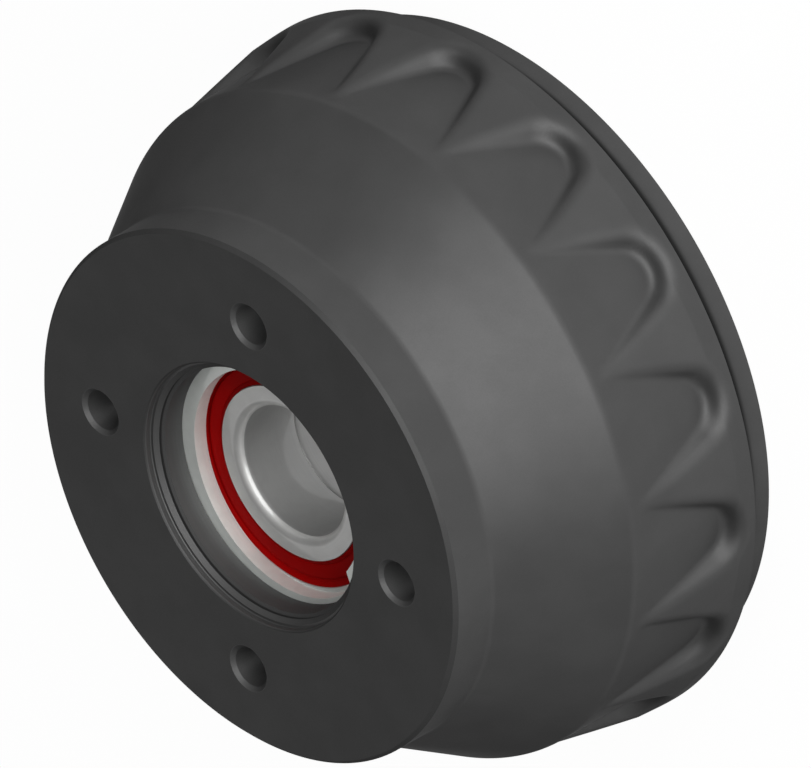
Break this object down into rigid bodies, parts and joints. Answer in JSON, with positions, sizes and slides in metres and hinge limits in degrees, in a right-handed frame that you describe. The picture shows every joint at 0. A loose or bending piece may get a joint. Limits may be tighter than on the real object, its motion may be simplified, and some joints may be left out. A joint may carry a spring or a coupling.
{
  "type": "brake drum",
  "caption": "Trailer brake drum with ribbed skirt, drilled wheel flange and a compact wheel bearing with a red seal, held by a retaining ring.",
  "frame": {"origin": "centre of the open rear rim, on the spin axis, in the plane the drum stands on", "axes": "+Z along the spin axis towards the wheel flange; +X and +Y each through a wheel bolt hole"},
  "size_m": [0.185, 0.185, 0.0897],
  "materials": {
    "dark_cast_iron": "even dark grey, satin",
    "bearing_steel": "ground, nearly polished",
    "spring_steel": "stamped and tumbled, nearly polished",
    "polished_steel": "polished",
    "cage_plastic": "moulded nylon, matte",
    "red_seal_rubber": "moulded, satin",
    "pressed_steel": "pressed, dull"
  },
  "bodies": {
    "drum": {"drum_casting": "dark_cast_iron", "bearing_outer_ring": "bearing_steel", "retaining_ring": "spring_steel", "seal_outboard": "red_seal_rubber", "seal_inboard": "red_seal_rubber", "seal_insert_outboard": "pressed_steel", "seal_insert_inboard": "pressed_steel"},
    "inner_race": {"inner_ring_outboard": "bearing_steel", "inner_ring_inboard": "bearing_steel"},
    "balls_outboard": {"ball_row_outboard": "polished_steel", "ball_cage_outboard": "cage_plastic"},
    "balls_inboard": {"ball_row_inboard": "polished_steel", "ball_cage_inboard": "cage_plastic"}
  },
  "joints": [
    {"name": "hub_spin", "type": "hinge", "parent": "drum", "child": "inner_race", "pos_m": [0, 0, 0.0572], "axis": [0, 0, 1], "continuous": true},
    {"name": "outboard_cage_turn", "type": "hinge", "parent": "drum", "child": "balls_outboard", "pos_m": [0, 0, 0.0659], "axis": [0, 0, 1], "continuous": true},
    {"name": "inboard_cage_turn", "type": "hinge", "parent": "drum", "child": "balls_inboard", "pos_m": [0, 0, 0.0485], "axis": [0, 0, 1], "continuous": true}
  ],
  "couplings": [
    {"joint": "outboard_cage_turn", "follows": "hub_spin", "ratio": 0.4176},
    {"joint": "inboard_cage_turn", "follows": "hub_spin", "ratio": 0.4176}
  ]
}
